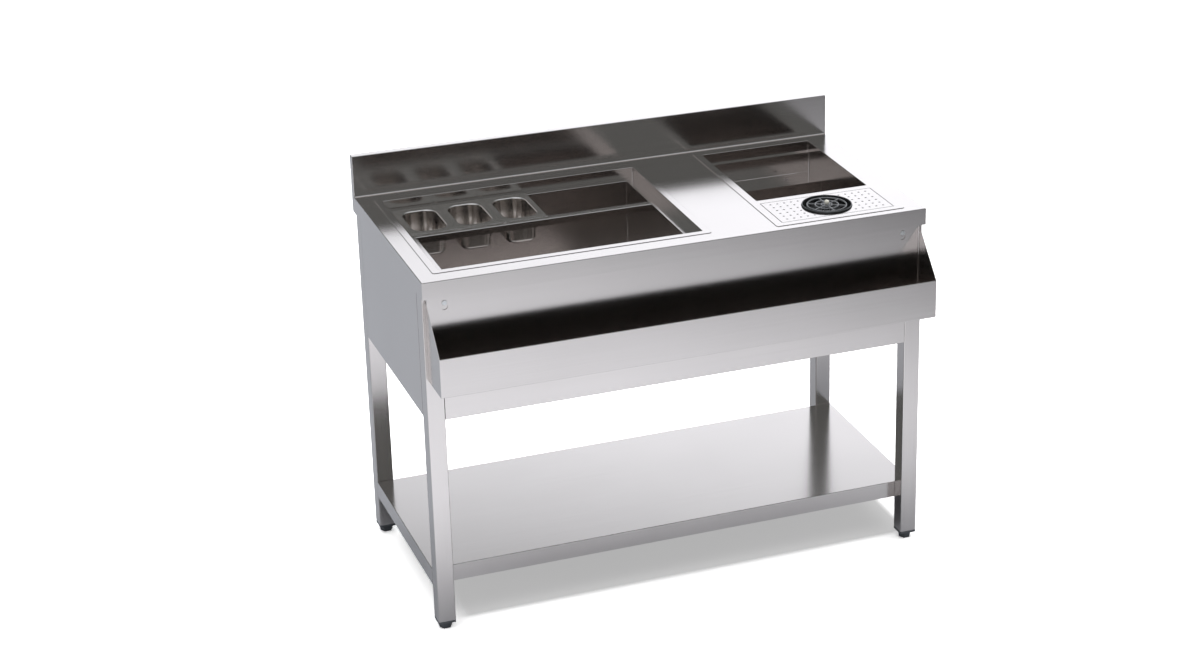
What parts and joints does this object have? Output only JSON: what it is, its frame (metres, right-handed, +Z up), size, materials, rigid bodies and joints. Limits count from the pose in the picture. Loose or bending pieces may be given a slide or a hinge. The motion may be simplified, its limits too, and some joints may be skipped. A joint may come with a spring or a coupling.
{
  "type": "cocktail station",
  "caption": "Stainless bar workstation: insulated ice well with garnish pans on a rail, stepped sink, perforated drip tray with sprung glass rinser, lower shelf and hung bottle rail.",
  "frame": {"origin": "on the floor, under the middle of the station's box, which takes in the speed rail", "axes": "+X along the counter to the worker's right, +Y from the worker to the upstand, +Z up"},
  "size_m": [1.2, 0.6816, 0.96],
  "materials": {
    "stainless": "satin",
    "stainless_tube": "satin",
    "pan_steel": "polished",
    "black_plastic": "matte",
    "rinser_plastic": "satin",
    "nozzle_plastic": "satin",
    "bright_metal": "polished",
    "nut_plastic": "matte",
    "seal_rubber": "matte",
    "foam": "matte",
    "fastener_steel": "satin",
    "rivet_aluminium": "satin"
  },
  "bodies": {
    "station": {"worktop": "stainless", "front_panel": "stainless", "rear_panel": "stainless", "left_panel": "stainless", "right_panel": "stainless", "shelf": "stainless", "shelf_stiffener": "stainless", "ice_well_liner": "stainless", "ice_well_jacket": "stainless", "pan_rail": "stainless", "sink_deck": "stainless", "sink_bowl": "stainless", "tray_recess": "stainless", "frame_front": "stainless_tube", "frame_rear": "stainless_tube", "frame_left": "stainless_tube", "frame_right": "stainless_tube", "frame_middle": "stainless_tube", "leg_front_left": "stainless_tube", "leg_front_right": "stainless_tube", "leg_rear_left": "stainless_tube", "leg_rear_right": "stainless_tube", "leg_plug_front_left": "black_plastic", "leg_plug_front_right": "black_plastic", "leg_plug_rear_left": "black_plastic", "leg_plug_rear_right": "black_plastic", "rinser_body": "rinser_plastic", "rinser_inlet": "bright_metal", "ice_well_waste": "bright_metal", "ice_well_strainer": "bright_metal", "sink_waste": "bright_metal", "tray_waste": "bright_metal", "ice_well_nut": "nut_plastic", "sink_nut": "nut_plastic", "tray_nut": "nut_plastic", "rinser_nut": "nut_plastic", "drain_gaskets": "seal_rubber", "tray_gasket": "seal_rubber", "rinser_gasket": "seal_rubber", "ice_well_insulation": "foam", "shelf_bolts": "fastener_steel", "shelf_nuts": "fastener_steel", "rail_studs": "fastener_steel", "rail_stud_nuts": "fastener_steel", "rinser_spring": "fastener_steel", "panel_rivets": "rivet_aluminium"},
    "foot_front_left": {"foot_front_left": "black_plastic"},
    "foot_front_right": {"foot_front_right": "black_plastic"},
    "foot_rear_left": {"foot_rear_left": "black_plastic"},
    "foot_rear_right": {"foot_rear_right": "black_plastic"},
    "pan_left": {"pan_left": "pan_steel"},
    "pan_middle": {"pan_middle": "pan_steel"},
    "pan_right": {"pan_right": "pan_steel"},
    "drip_tray": {"drip_tray": "stainless"},
    "rinser_press": {"rinser_grille": "rinser_plastic", "rinser_nozzle": "nozzle_plastic", "rinser_stem": "bright_metal"},
    "speed_rail": {"speed_rail_trough": "stainless", "speed_rail_end_left": "stainless", "speed_rail_end_right": "stainless"}
  },
  "joints": [
    {"name": "foot_front_left_screw", "type": "slide", "parent": "station", "child": "foot_front_left", "axis": [0, 0, -1], "range_m": [0, 0.02]},
    {"name": "foot_front_right_screw", "type": "slide", "parent": "station", "child": "foot_front_right", "axis": [0, 0, -1], "range_m": [0, 0.02]},
    {"name": "foot_rear_left_screw", "type": "slide", "parent": "station", "child": "foot_rear_left", "axis": [0, 0, -1], "range_m": [0, 0.02]},
    {"name": "foot_rear_right_screw", "type": "slide", "parent": "station", "child": "foot_rear_right", "axis": [0, 0, -1], "range_m": [0, 0.02]},
    {"name": "pan_left_lift", "type": "slide", "parent": "station", "child": "pan_left", "axis": [0, 0, 1], "range_m": [0, 0.12]},
    {"name": "pan_middle_lift", "type": "slide", "parent": "station", "child": "pan_middle", "axis": [0, 0, 1], "range_m": [0, 0.12]},
    {"name": "pan_right_lift", "type": "slide", "parent": "station", "child": "pan_right", "axis": [0, 0, 1], "range_m": [0, 0.12]},
    {"name": "drip_tray_lift", "type": "slide", "parent": "station", "child": "drip_tray", "axis": [0, 0, 1], "range_m": [0, 0.06]},
    {"name": "rinser_press", "type": "slide", "parent": "station", "child": "rinser_press", "axis": [0, 0, -1], "range_m": [0, 0.007], "stiffness_N_per_m": 800, "springref_m": -0.004, "deforming": ["rinser_spring"]},
    {"name": "speed_rail_lift", "type": "slide", "parent": "station", "child": "speed_rail", "axis": [0, 0, 1], "range_m": [0, 0.0097]}
  ]
}
